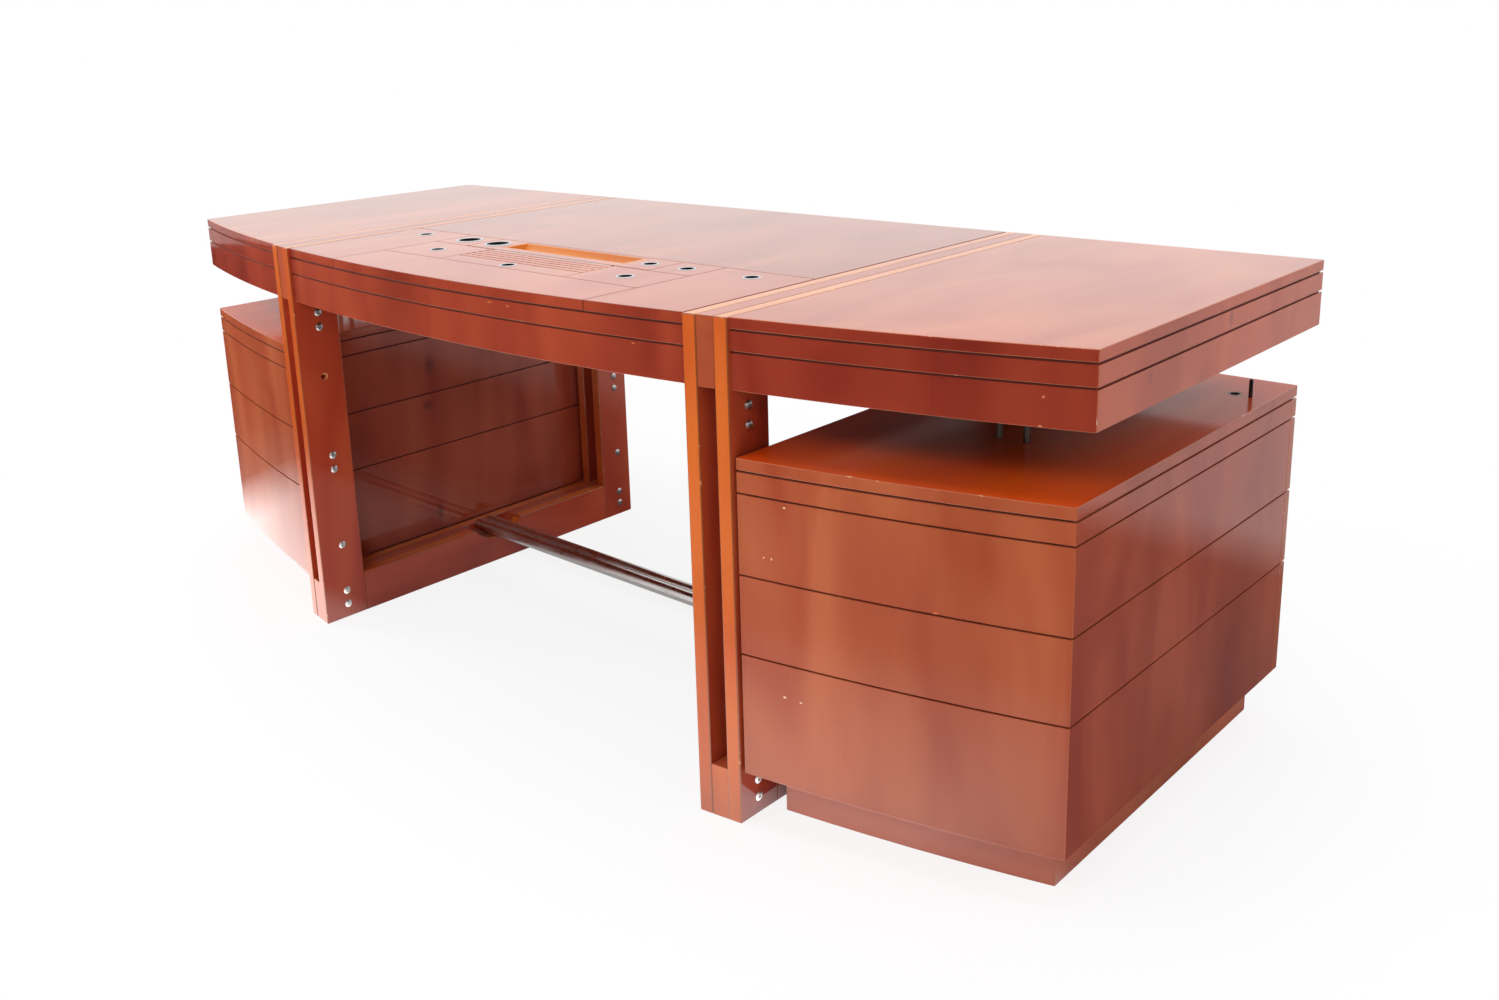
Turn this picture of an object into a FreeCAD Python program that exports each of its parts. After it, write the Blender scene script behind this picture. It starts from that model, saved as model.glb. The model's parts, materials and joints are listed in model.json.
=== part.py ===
import FreeCAD, Part
import os
import re
import Sketcher

# The desk stands on z = 0. Its bowed visitor side faces -Y and its straight user side, with the drawers, +Y.
doc = FreeCAD.newDocument("bow_front_desk")
dims = doc.addObject("Spreadsheet::Sheet", "dims")

# Driving dimensions in millimetres.
SIZES = {
    # Whole desk
    "desk_length": 2100, "desk_depth": 860, "desk_height": 750, "bow_rise": 155,
    # Top: thin slabs on deep aprons, with shadow grooves cut round the edge
    "top_thickness": 100, "slab": 16, "apron": 20, "groove": 3, "groove_depth": 4, "edge_band": 31.5,
    "slab_gap": 2.5, "seam": 1.2, "soffit": 8,
    # Leg frames: two leaves with a filler between them at top and bottom
    "knee_width": 1012, "leaf": 22, "slot": 28, "leaf_proud": 5, "filler_back": 1, "front_post": 122,
    "rear_post": 84, "foot_rail": 82,
    # Bolts through both leaves, and the spare hole that shows its countersunk mouth
    "bolt_front": 80, "bolt_rear": 36, "bolt_shank": 8, "bolt_head": 15, "bolt_dome": 2.5, "bolt_fit": 0.3,
    "bolt_pitch": 28.4, "low_bolt": 28, "single_bolt": 153, "middle_bolt": 310, "bolt_under": 28.6,
    "spare_under": 154, "spare_bore": 7, "spare_mouth": 14, "spare_depth": 5,
    # Stretcher: a pair of tubes lying in scoops in the foot rails
    "tube": 25, "tube_wall": 2, "tube_gap": 2, "tube_lift": 8.5, "stretcher_back": 33.5,
    "scoop_radius": 84, "scoop_floor": 54,
    # Pedestals
    "pedestal_gap": 4, "pedestal_width": 450, "pedestal_back": 20, "wing_gap": 94,
    "pedestal_top": 17, "board": 18, "fascia": 33, "file_extra": 67, "fit": 0.3,
    "plinth_height": 82, "plinth_front": 60, "plinth_outer": 40, "plinth_inner": 22, "plinth_back": 18,
    # Drawers hang on side runners that slide in grooves of the drawer sides
    "drawer_room": 59, "drawer_wall": 12, "drawer_floor": 6, "drawer_gap": 3, "drawer_lift": 7,
    "finger_width": 116, "finger_depth": 22, "finger_room": 4,
    "runner_height": 12, "runner_bite": 6, "runner_low": 24, "runner_end": 10,
    # Wing posts, and the pin and socket on the right pedestal, placed from the pedestal's faces
    "post_rod": 10, "post_in": 230, "post_front": 338, "post_step": 43,
    "pin_rod": 6, "pin_length": 28, "pin_sink": 10, "pin_out": 30, "pin_back": 107,
    "socket_rod": 20, "socket_bore": 14, "socket_depth": 12, "socket_out": 56, "socket_back": 101,
    # Hatch field in the middle of the top, measured from the crown of the bow and from the leg frames
    "hatch_front": 121, "near_row": 112.5, "far_row": 86.5, "lid_half": 159.5, "side_extra": 13.5,
    "tile_extra": 18, "well_wall": 12, "well_floor": 8, "well_depth": 74,
    # Pen tray: it hangs by a flange on a ledge in its panel
    "tray_length": 320, "tray_front": 23.5, "tray_back": 8, "tray_depth": 30, "tray_rim": 4,
    "tray_flange": 6, "tray_ledge": 4, "cove_depth": 18,
    # Slatted lid and its piano hinge
    "slat_groove": 4, "slat_depth": 3, "slat_count": 5, "slat_front": 40, "slat_back": 9,
    "hinge_gap": 2.7, "knuckle": 5, "hinge_pin": 2, "hinge_leaf": 1, "hinge_fit": 0.2, "hinge_end": 8,
    # Cable rings and ports
    "ring_flange": 30, "ring_sleeve": 26, "ring_bore": 22, "ring_lip": 1, "ring_fit": 0.3, "ring_edge": 20,
    "port_flange": 50, "port_sleeve": 44, "port_bore": 40, "port_lip": 1.6,
}
for row, (name, value) in enumerate(SIZES.items(), start=1):
    dims.set(f"A{row}", name)
    dims.set(f"B{row}", str(value))
    dims.setAlias(f"B{row}", name)
doc.recompute()

FRONT = "(-desk_depth / 2)"
BACK = "(desk_depth / 2)"
END = "(desk_length / 2)"
TOP = "desk_height"
UNDER = "(desk_height - top_thickness)"
SLAB_UNDER = "(desk_height - slab)"
BOW_RADIUS = "(((desk_length / 2) ^ 2 + bow_rise ^ 2) / (2 * bow_rise))"
FRAME_IN = "(knee_width / 2)"
SLOT_IN = "(knee_width / 2 + leaf)"
SLOT_OUT = "(knee_width / 2 + leaf + slot)"
FRAME_OUT = "(knee_width / 2 + 2 * leaf + slot)"
SIDES = (("left", -1), ("right", 1))

nodes = {}


def in_sheet(text):
    """Point the size names in an expression at the spreadsheet."""
    return re.sub("[a-z_]+", lambda word: "dims." + word[0] if word[0] in SIZES else word[0], text)


def number(text):
    """The present value of an expression, worked out in a spare cell of the sheet."""
    dims.set("D1", "=" + text)
    dims.recompute()
    return float(dims.get("D1"))


def group(*pieces):
    piece = doc.addObject("Part::Compound", "group")
    piece.Links = list(pieces)
    return piece


def node(label, *pieces):
    """Name a finished sub-part; several solids of one kind make one group."""
    piece = pieces[0] if len(pieces) == 1 else group(*pieces)
    piece.Label = label
    nodes[label] = piece


def across(sign, low, high):
    """A span along X on the right side of the desk, or its mirror image on the left."""
    return (low, high) if sign > 0 else (f"-({high})", f"-({low})")


def at(sign, place):
    """A place along X on the right side of the desk, or its mirror image on the left."""
    return place if sign > 0 else f"-({place})"


def block(x, y, z):
    """A board between two faces on each axis."""
    piece = doc.addObject("Part::Box", "board")
    for size, axis, (low, high) in (("Length", "x", x), ("Width", "y", y), ("Height", "z", z)):
        piece.setExpression(size, in_sheet(f"({high}) - ({low})"))
        piece.setExpression("Placement.Base." + axis, in_sheet(low))
    return piece


TURNS = {
    "x": FreeCAD.Rotation(FreeCAD.Vector(0, 1, 0), 90),
    "y": FreeCAD.Rotation(FreeCAD.Vector(1, 0, 0), -90),
    "z": FreeCAD.Rotation(),
}


def rod(axis, x, y, z, diameter):
    """A round bar along one axis, which has a span; the other two axes have one place each."""
    piece = doc.addObject("Part::Cylinder", "rod")
    piece.Placement = FreeCAD.Placement(FreeCAD.Vector(), TURNS[axis])
    piece.setExpression("Radius", in_sheet(f"({diameter}) / 2"))
    for name, place in (("x", x), ("y", y), ("z", z)):
        if name == axis:
            piece.setExpression("Height", in_sheet(f"({place[1]}) - ({place[0]})"))
            place = place[0]
        piece.setExpression("Placement.Base." + name, in_sheet(place))
    return piece


def combine(kind, base, *tools):
    """Cut, fuse or intersect a base with each tool in turn."""
    for tool in tools:
        result = doc.addObject("Part::" + kind, kind.lower())
        result.Base = base
        result.Tool = tool
        base = result
    return base


drums = {}


def bowed(x, back, z, inset="0"):
    """A board whose visitor side follows the bow, set back from it by the inset."""
    if inset not in drums:
        drum = doc.addObject("Part::Cylinder", "bow")
        drum.setExpression("Radius", in_sheet(f"{BOW_RADIUS} - ({inset})"))
        drum.setExpression("Height", in_sheet("2 * desk_height"))
        drum.setExpression("Placement.Base.y", in_sheet(f"{FRONT} + {BOW_RADIUS}"))
        drum.setExpression("Placement.Base.z", in_sheet("-desk_height / 2"))
        drums[inset] = drum
    return combine("Common", block(x, (f"{FRONT} - 2 * leaf_proud", back), z), drums[inset])


def bow_board(x, z, thick, inset="0"):
    """A board of even thickness bent along the bow, set back from it by the inset."""
    reach = f"{FRONT} + bow_rise + {inset}"
    whole = bowed(x, f"{reach} + 2 * {thick}", z, inset)
    core = bowed(x, f"{reach} + 3 * {thick}", z, f"{inset} + {thick}")
    return combine("Cut", whole, core)


def grooves(x, back, lines):
    """Cutters for shadow grooves all round an outline: a ring at each height, as deep as the grooves."""
    core = bowed((f"{x[0]} + groove_depth", f"{x[1]} - groove_depth"), f"{back} - groove_depth",
                 ("0", TOP), "groove_depth")
    wide_x = (f"{x[0]} - apron", f"{x[1]} + apron")
    wide_y = (f"{FRONT} - apron", f"{back} + apron")
    return [combine("Cut", block(wide_x, wide_y, (low, f"{low} + groove")), core) for low in lines]


def draw(body, plane, outline):
    """A closed sketch of straight edges on one of the body's own planes, each corner tied to the sheet."""
    sketch = body.newObject("Sketcher::SketchObject", "outline")
    support = next(face for face in body.Origin.OriginFeatures if face.Role == plane)
    sketch.AttachmentSupport = [(support, "")]
    sketch.MapMode = "FlatFace"
    corners = [FreeCAD.Vector(number(x), number(y), 0) for x, y in outline]
    for start, finish in zip(corners, corners[1:] + corners[:1]):
        sketch.addGeometry(Part.LineSegment(start, finish), False)
    for edge, (corner, places) in enumerate(zip(corners, outline)):
        before = (edge - 1) % len(corners)
        sketch.addConstraint(Sketcher.Constraint("Coincident", before, 2, edge, 1))
        for kind, value, place in (("DistanceX", corner.x, places[0]), ("DistanceY", corner.y, places[1])):
            tied = sketch.addConstraint(Sketcher.Constraint(kind, -1, 1, edge, 1, value))
            sketch.setExpression(f"Constraints[{tied}]", in_sheet(place))
    return sketch


def spun(outline, x, y):
    """A round piece turned about an upright axis at a place; the outline gives radius and height."""
    body = doc.addObject("PartDesign::Body", "turned")
    sketch = draw(body, "XZ_Plane", outline)
    turn = body.newObject("PartDesign::Revolution", "turn")
    turn.Profile = sketch
    turn.ReferenceAxis = (sketch, ["V_Axis"])
    turn.Angle = 360
    body.setExpression("Placement.Base.x", in_sheet(x))
    body.setExpression("Placement.Base.y", in_sheet(y))
    return body


# Leg frames. Each is a pair of leaves a slot apart, whose posts run from the floor to the top surface.
HIGH_BOLT = f"{UNDER} - bolt_under - bolt_pitch"
BOLT_HEIGHTS = ("low_bolt", "low_bolt + bolt_pitch", "single_bolt", "middle_bolt", "middle_bolt + bolt_pitch",
                HIGH_BOLT, f"{HIGH_BOLT} + bolt_pitch")
FRONT_POST_BACK = f"{FRONT} + front_post"
REAR_POST_FRONT = f"{BACK} - rear_post"
FRONT_BOLTS = f"{FRONT} + bolt_front"
REAR_BOLTS = f"{BACK} - bolt_rear"
SPARE_Z = f"{UNDER} - spare_under"
FILLER_INSET = "filler_back - leaf_proud"
LEAVES = ((FRAME_IN, SLOT_IN), (SLOT_OUT, FRAME_OUT))


def bolt_holes(sign, y):
    """Cutters for one row of bolts, longer than the frame is wide."""
    span = across(sign, f"{FRAME_IN} - leaf", f"{FRAME_OUT} + leaf")
    return group(*[rod("x", span, y, z, "bolt_shank + 2 * bolt_fit") for z in BOLT_HEIGHTS])


def bolt(sign, y, z):
    """A through bolt with a low head on each outer face of the frame."""
    shank = rod("x", across(sign, FRAME_IN, FRAME_OUT), y, z, "bolt_shank")
    heads = [rod("x", across(sign, low, f"{low} + bolt_dome"), y, z, "bolt_head")
             for low in (f"{FRAME_IN} - bolt_dome", FRAME_OUT)]
    return combine("Fuse", shank, *heads)


fillers = []
bolts = []
for side, sign in SIDES:
    front_holes = bolt_holes(sign, FRONT_BOLTS)
    rear_holes = bolt_holes(sign, REAR_BOLTS)
    front_posts = []
    rear_posts = []
    foot_rails = []
    top_rails = []
    for leaf in LEAVES:
        x = across(sign, *leaf)
        front_post = bowed(x, FRONT_POST_BACK, ("0", TOP), "-leaf_proud")
        front_posts.append(combine("Cut", front_post, front_holes))
        rear_posts.append(combine("Cut", block(x, (REAR_POST_FRONT, BACK), ("0", TOP)), rear_holes))
        foot_rails.append(block(x, (FRONT_POST_BACK, REAR_POST_FRONT), ("0", "foot_rail")))
        top_rails.append(block(x, (FRONT_POST_BACK, REAR_POST_FRONT), (UNDER, TOP)))

    bore = rod("x", across(sign, f"{FRAME_IN} - leaf", SLOT_IN), FRONT_BOLTS, SPARE_Z, "spare_bore")
    mouth = rod("x", across(sign, f"{FRAME_IN} - leaf", f"{FRAME_IN} + spare_depth"), FRONT_BOLTS,
                SPARE_Z, "spare_mouth")
    front_posts[0] = combine("Cut", front_posts[0], bore, mouth)
    scoop = rod("x", across(sign, f"{FRAME_IN} - leaf", SLOT_OUT), "stretcher_back",
                "scoop_floor + scoop_radius", "2 * scoop_radius")
    foot_rails[0] = combine("Cut", foot_rails[0], scoop)

    node(f"{side}_front_posts", *front_posts)
    node(f"{side}_rear_posts", *rear_posts)
    node(f"{side}_foot_rails", *foot_rails)
    node(f"{side}_top_rails", *top_rails)
    slot = across(sign, SLOT_IN, SLOT_OUT)
    low_filler = bowed(slot, BACK, ("0", "foot_rail"), FILLER_INSET)
    fillers.append(combine("Cut", low_filler, scoop, front_holes, rear_holes))
    fillers.append(bowed(slot, BACK, (UNDER, TOP), FILLER_INSET))
    bolts += [bolt(sign, y, z) for y in (FRONT_BOLTS, REAR_BOLTS) for z in BOLT_HEIGHTS]
node("frame_fillers", *fillers)
node("frame_bolts", *bolts)

# Stretcher tubes butt against the outer leaves and pass over the scoops.
TUBE_SPAN = (f"-{SLOT_OUT}", SLOT_OUT)
TUBE_Z = "scoop_floor + tube_lift + tube / 2"
tubes = []
for y in ("stretcher_back - (tube + tube_gap) / 2", "stretcher_back + (tube + tube_gap) / 2"):
    bore = rod("x", TUBE_SPAN, y, TUBE_Z, "tube - 2 * tube_wall")
    tubes.append(combine("Cut", rod("x", TUBE_SPAN, y, TUBE_Z, "tube"), bore))
node("stretcher_tubes", *tubes)

# Aprons of the top. One groove lies under the slab and one lower down, and both run round the whole top.
TOP_LINES = (f"{SLAB_UNDER} - groove", f"{SLAB_UNDER} - edge_band - groove / 2")
KNEE = (f"-{FRAME_IN}", FRAME_IN)
APRON_Z = (UNDER, SLAB_UNDER)
top_grooves = grooves((f"-{END}", END), BACK, TOP_LINES)
node("front_apron", combine("Cut", bow_board(KNEE, APRON_Z, "apron"), *top_grooves))
node("rear_apron", combine("Cut", block(KNEE, (f"{BACK} - apron", BACK), APRON_Z), *top_grooves))

# Wings carry the top out over the pedestals: slab, three apron boards and a thin soffit.
soffits = []
for side, sign in SIDES:
    node(f"{side}_wing_top", bowed(across(sign, FRAME_OUT, END), BACK, (SLAB_UNDER, TOP)))
    inner = across(sign, FRAME_OUT, f"{END} - apron")
    aprons = (bow_board(across(sign, FRAME_OUT, END), APRON_Z, "apron"),
              bowed(across(sign, f"{END} - apron", END), BACK, APRON_Z, "apron"),
              block(inner, (f"{BACK} - apron", BACK), APRON_Z))
    node(f"{side}_wing_aprons", *[combine("Cut", apron, *top_grooves) for apron in aprons])
    soffits.append(bowed(inner, f"{BACK} - apron", (UNDER, f"{UNDER} + soffit"), "apron + fit"))
node("wing_soffits", *soffits)

# Pedestals. The grooves between the drawer fronts run on round the other three faces.
# Three drawers share the height, and the lowest is taller than the others, for files.
PED_IN = f"({FRAME_OUT} + pedestal_gap)"
PED_OUT = f"({PED_IN} + pedestal_width)"
PED_BACK = f"({BACK} - pedestal_back)"
BODY_BACK = f"({PED_BACK} - board)"
PED_TOP = f"({UNDER} - wing_gap)"
TOP_LINE = f"({PED_TOP} - pedestal_top)"
FASCIA_LINE = f"({TOP_LINE} - fascia)"
DRAWER_PITCH = f"(({FASCIA_LINE} - plinth_height - file_extra) / 3)"
UPPER_LINE = f"({FASCIA_LINE} - {DRAWER_PITCH})"
LOWER_LINE = f"({UPPER_LINE} - {DRAWER_PITCH})"
PED_LINES = (f"{TOP_LINE} - groove", f"{FASCIA_LINE} - groove / 2", f"{UPPER_LINE} - groove / 2",
             f"{LOWER_LINE} - groove / 2")
PIN_X = f"{PED_OUT} - pin_out"
PIN_Y = f"{PED_BACK} - pin_back"
PIN_FOOT = f"{PED_TOP} - pin_sink"
SOCKET_X = f"{PED_OUT} - socket_out"
SOCKET_Y = f"{PED_BACK} - socket_back"
SOCKET_FOOT = f"{PED_TOP} - socket_depth"

plinths = []
floors = []
fascias = []
for side, sign in SIDES:
    whole = across(sign, PED_IN, PED_OUT)
    hollow = across(sign, f"{PED_IN} + board", f"{PED_OUT} - board")
    carcase = ("plinth_height", TOP_LINE)
    lines = grooves(whole, PED_BACK, PED_LINES)
    top = bowed(whole, PED_BACK, (TOP_LINE, PED_TOP))
    if side == "right":
        pin_hole = rod("z", PIN_X, PIN_Y, (PIN_FOOT, TOP), "pin_rod + 2 * fit")
        socket_hole = rod("z", SOCKET_X, SOCKET_Y, (SOCKET_FOOT, TOP), "socket_rod + 2 * fit")
        top = combine("Cut", top, pin_hole, socket_hole)
    node(f"{side}_pedestal_top", top)
    sides = (bowed(across(sign, PED_IN, f"{PED_IN} + board"), BODY_BACK, carcase, "board"),
             bowed(across(sign, f"{PED_OUT} - board", PED_OUT), BODY_BACK, carcase, "board"))
    node(f"{side}_pedestal_sides", *[combine("Cut", piece, *lines) for piece in sides])
    node(f"{side}_pedestal_bow_panel", combine("Cut", bow_board(whole, carcase, "board"), *lines))
    floors.append(bowed(hollow, BODY_BACK, ("plinth_height", "plinth_height + board"), "board + fit"))
    fascia_z = (f"{FASCIA_LINE} + groove / 2", f"{TOP_LINE} - groove")
    fascias.append(block(whole, (BODY_BACK, PED_BACK), fascia_z))

    stand = across(sign, f"{PED_IN} + plinth_inner", f"{PED_OUT} - plinth_outer")
    stand_back = f"{PED_BACK} - plinth_back"
    stand_z = ("0", "plinth_height")
    between = (f"{stand[0]} + board", f"{stand[1]} - board")
    plinths.append(bow_board(stand, stand_z, "board", "plinth_front"))
    plinths.append(block(between, (f"{stand_back} - board", stand_back), stand_z))
    for edge in ((stand[0], between[0]), (between[1], stand[1])):
        plinths.append(bowed(edge, stand_back, stand_z, "plinth_front + board"))
node("pedestal_floors", *floors)
node("pedestal_plinths", *plinths)
node("pedestal_fascias", *fascias)

# Drawers open towards the user. Each front has a finger scoop in its top edge, and its box stops below it.
DRAWERS = (("upper", f"{UPPER_LINE} + groove / 2", f"{FASCIA_LINE} - groove / 2", "0"),
           ("middle", f"{LOWER_LINE} + groove / 2", f"{UPPER_LINE} - groove / 2", "0"),
           ("lower", "plinth_height", f"{LOWER_LINE} - groove / 2", "board"))
FINGER_RADIUS = "(((finger_width / 2) ^ 2 + finger_depth ^ 2) / (2 * finger_depth))"
BOW_PANEL_IN = f"{FRONT} + {BOW_RADIUS} - sqrt(({BOW_RADIUS} - board) ^ 2 - {PED_OUT} ^ 2)"
BOX_Y = (f"({BOW_PANEL_IN} + drawer_room)", BODY_BACK)


def drawer_front(sign, low, high):
    """A flat front as wide as the pedestal, with a round scoop for the fingers."""
    front = block(across(sign, PED_IN, PED_OUT), (BODY_BACK, PED_BACK), (low, high))
    scoop = rod("y", at(sign, f"({PED_IN} + {PED_OUT}) / 2"), (f"{BODY_BACK} - board", f"{PED_BACK} + board"),
                f"{high} - finger_depth + {FINGER_RADIUS}", f"2 * {FINGER_RADIUS}")
    return combine("Cut", front, scoop)


def drawer_box(x, z, channel_z):
    """Five boards: two sides with a channel for the runner, two ends and a floor."""
    inside = (f"{x[0]} + drawer_wall", f"{x[1]} - drawer_wall")
    inside_y = (f"{BOX_Y[0]} + drawer_wall", f"{BOX_Y[1]} - drawer_wall")
    sides = []
    for outer, span in ((x[0], (x[0], inside[0])), (x[1], (inside[1], x[1]))):
        reach = (f"{outer} - runner_bite - fit", f"{outer} + runner_bite + fit")
        sides.append(combine("Cut", block(span, BOX_Y, z), block(reach, BOX_Y, channel_z)))
    ends = [block(inside, span, z) for span in ((BOX_Y[0], inside_y[0]), (inside_y[1], BOX_Y[1]))]
    return sides + ends + [block(inside, inside_y, (z[0], f"{z[0]} + drawer_floor"))]


runners = []
for side, sign in SIDES:
    hollow = across(sign, f"{PED_IN} + board", f"{PED_OUT} - board")
    box_x = (f"{hollow[0]} + drawer_gap", f"{hollow[1]} - drawer_gap")
    for place, low, high, over in DRAWERS:
        box_z = (f"({low} + {over} + drawer_lift)", f"{high} - finger_depth - finger_room")
        runner_z = (f"{box_z[0]} + runner_low", f"{box_z[0]} + runner_low + runner_height")
        node(f"{side}_{place}_drawer_front", drawer_front(sign, low, high))
        node(f"{side}_{place}_drawer_box",
             *drawer_box(box_x, box_z, (f"{runner_z[0]} - fit", f"{runner_z[1]} + fit")))
        runner_y = (f"{BOX_Y[0]} + runner_end", f"{BOX_Y[1]} - runner_end")
        for span in ((hollow[0], f"{box_x[0]} + runner_bite"), (f"{box_x[1]} - runner_bite", hollow[1])):
            runners.append(block(span, runner_y, runner_z))
node("drawer_runners", *runners)

# Slim rods hold the wings off the pedestals, and a short pin stands in the right pedestal beside its socket.
posts = []
for side, sign in SIDES:
    for x in (f"{PED_IN} + post_in", f"{PED_IN} + post_in + post_step"):
        posts.append(rod("z", at(sign, x), f"{FRONT} + post_front", (PED_TOP, UNDER), "post_rod"))
node("wing_posts", *posts)
pin = rod("z", PIN_X, PIN_Y, (PIN_FOOT, f"{PED_TOP} + pin_length"), "pin_rod")
socket_wall = [("socket_bore / 2", SOCKET_FOOT), ("socket_rod / 2", SOCKET_FOOT),
               ("socket_rod / 2", PED_TOP), ("socket_bore / 2", PED_TOP)]
node("pedestal_pin", pin, spun(socket_wall, SOCKET_X, SOCKET_Y))

# Middle of the top: a writing panel towards the user, and a field of hatches towards the visitor.
# The covers and the side panels share the width between the lid and the leg frames.
PANEL_Z = (SLAB_UNDER, TOP)
THROUGH_Z = (f"{SLAB_UNDER} - slab", f"{TOP} + slab")
HATCH_FRONT = f"({FRONT} + hatch_front)"
HATCH_MID = f"({HATCH_FRONT} + near_row)"
HATCH_BACK = f"({HATCH_MID} + far_row)"
NEAR_MIDDLE = f"({HATCH_FRONT} + near_row / 2)"
FAR_MIDDLE = f"({HATCH_MID} + far_row / 2)"
PANEL_END = f"({FRAME_IN} - slab_gap)"
HATCH_HALF = f"((lid_half + {FRAME_IN} - side_extra) / 2)"
HATCH_END = f"({HATCH_HALF} - seam / 2)"


def board_hole(x, y, sleeve):
    """A hole through a board of the top for the sleeve of a ring or port."""
    return rod("z", x, y, THROUGH_Z, f"{sleeve} + 2 * ring_fit")


def bush(x, y, kind):
    """A turned ring or port: a sleeve through the board and a flange that lies on the surface."""
    bore, sleeve, flange = (f"{kind}_{part} / 2" for part in ("bore", "sleeve", "flange"))
    rim = f"{TOP} + {kind}_lip"
    section = [(bore, SLAB_UNDER), (sleeve, SLAB_UNDER), (sleeve, TOP),
               (flange, TOP), (flange, rim), (bore, rim)]
    return spun(section, x, y)


node("writing_panel", block((f"-{PANEL_END}", PANEL_END), (f"{HATCH_BACK} + seam / 2", BACK), PANEL_Z))
node("bow_strip", bowed((f"-{HATCH_END}", HATCH_END), f"{HATCH_FRONT} - seam / 2", PANEL_Z))
SIDE_RING = f"({HATCH_HALF} + {FRAME_IN}) / 2"
side_panels = []
for side, sign in SIDES:
    panel = bowed(across(sign, f"{HATCH_HALF} + seam / 2", PANEL_END), f"{HATCH_BACK} - seam / 2", PANEL_Z)
    side_panels.append(combine("Cut", panel, board_hole(at(sign, SIDE_RING), FAR_MIDDLE, "ring_sleeve")))
node("side_panels", *side_panels)

# Far row of hatches: a panel glued up from four strips round the pen tray, and a tile at each end.
# The tiles and the ends of the panel share the width beside the tray.
TRAY_HALF = "(tray_length / 2)"
TRAY_Y = (f"({HATCH_MID} + tray_front)", f"({HATCH_BACK} - tray_back)")
FLANGE_UNDER = f"{TOP} - tray_flange"
TILE_INNER = f"(({TRAY_HALF} + {HATCH_HALF} - tile_extra) / 2)"
PANEL_RING = f"({TRAY_HALF} + {TILE_INNER}) / 2"
TILE_RING = f"({TILE_INNER} + {HATCH_HALF}) / 2"


def tray_block(grow, z):
    """A block as large as the tray from above, grown on all four sides."""
    return block((f"-{TRAY_HALF} - ({grow})", f"{TRAY_HALF} + ({grow})"),
                 (f"{TRAY_Y[0]} - ({grow})", f"{TRAY_Y[1]} + ({grow})"), z)


tile_edge = f"({TILE_INNER} - seam / 2)"
tray_panel_y = (f"{HATCH_MID} + hinge_gap", f"{HATCH_BACK} - seam / 2")
ledge_end = f"({TRAY_HALF} + fit - tray_ledge)"
ledge_x = (f"-{ledge_end}", ledge_end)
TRAY_MIDDLE = f"(({TRAY_Y[0]} + {TRAY_Y[1]}) / 2)"
tray_seat = group(tray_block("fit", (FLANGE_UNDER, THROUGH_Z[1])), tray_block("fit - tray_ledge", THROUGH_Z))
strips = [combine("Cut", block(ledge_x, span, PANEL_Z), tray_seat)
          for span in ((tray_panel_y[0], TRAY_MIDDLE), (TRAY_MIDDLE, tray_panel_y[1]))]
for kind, (side, sign) in zip(("port", "ring"), SIDES):
    strip = block(across(sign, ledge_end, tile_edge), tray_panel_y, PANEL_Z)
    hole = board_hole(at(sign, PANEL_RING), FAR_MIDDLE, f"{kind}_sleeve")
    strips.append(combine("Cut", strip, tray_seat, hole))
node("tray_panel", *strips)
tiles = []
for kind, (side, sign) in zip(("port", "ring"), SIDES):
    tile = block(across(sign, f"{TILE_INNER} + seam / 2", HATCH_END),
                 (f"{HATCH_MID} + seam / 2", f"{HATCH_BACK} - seam / 2"), PANEL_Z)
    tiles.append(combine("Cut", tile, board_hole(at(sign, TILE_RING), FAR_MIDDLE, f"{kind}_sleeve")))
node("port_tiles", *tiles)

# Pen tray: a flanged trough with one round cove, closed by a block glued to each end.
COVE_HALF = f"(({TRAY_Y[1]} - {TRAY_Y[0]}) / 2 - tray_rim)"
COVE_RADIUS = f"(({COVE_HALF} ^ 2 + cove_depth ^ 2) / (2 * cove_depth))"
tray = combine("Fuse", tray_block("0", (FLANGE_UNDER, TOP)),
               tray_block("-tray_ledge", (f"{TOP} - tray_depth", TOP)))
cove = rod("x", (f"-{TRAY_HALF}", TRAY_HALF), TRAY_MIDDLE, f"{TOP} - cove_depth + {COVE_RADIUS}",
           f"2 * {COVE_RADIUS}")
cove_end = f"({TRAY_HALF} - 2 * tray_rim)"
tray_z = (f"{TOP} - tray_depth", TOP)
trough = combine("Cut", combine("Common", tray, block((f"-{cove_end}", cove_end), TRAY_Y, tray_z)), cove)
tray_ends = [combine("Common", tray, block(across(sign, cove_end, TRAY_HALF), TRAY_Y, tray_z))
             for side, sign in SIDES]
node("pen_tray", trough, *tray_ends)
node("cable_rings", *[bush(at(sign, SIDE_RING), FAR_MIDDLE, "ring") for side, sign in SIDES],
     bush(PANEL_RING, FAR_MIDDLE, "ring"), bush(TILE_RING, FAR_MIDDLE, "ring"))
node("cable_ports", bush(f"-{PANEL_RING}", FAR_MIDDLE, "port"), bush(f"-{TILE_RING}", FAR_MIDDLE, "port"))

# Near row of hatches: a slatted lid on a piano hinge between two lift-out covers.
COVER_RING = f"(lid_half + {HATCH_HALF}) / 2"
for side, sign in SIDES:
    cover = block(across(sign, "lid_half + seam / 2", HATCH_END),
                  (f"{HATCH_FRONT} + seam / 2", f"{HATCH_MID} - seam / 2"), PANEL_Z)
    node(f"{side}_cover", combine("Cut", cover, board_hole(at(sign, COVER_RING), NEAR_MIDDLE, "ring_sleeve")))
    node(f"{side}_cover_ring", bush(at(sign, COVER_RING), NEAR_MIDDLE, "ring"))

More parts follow.
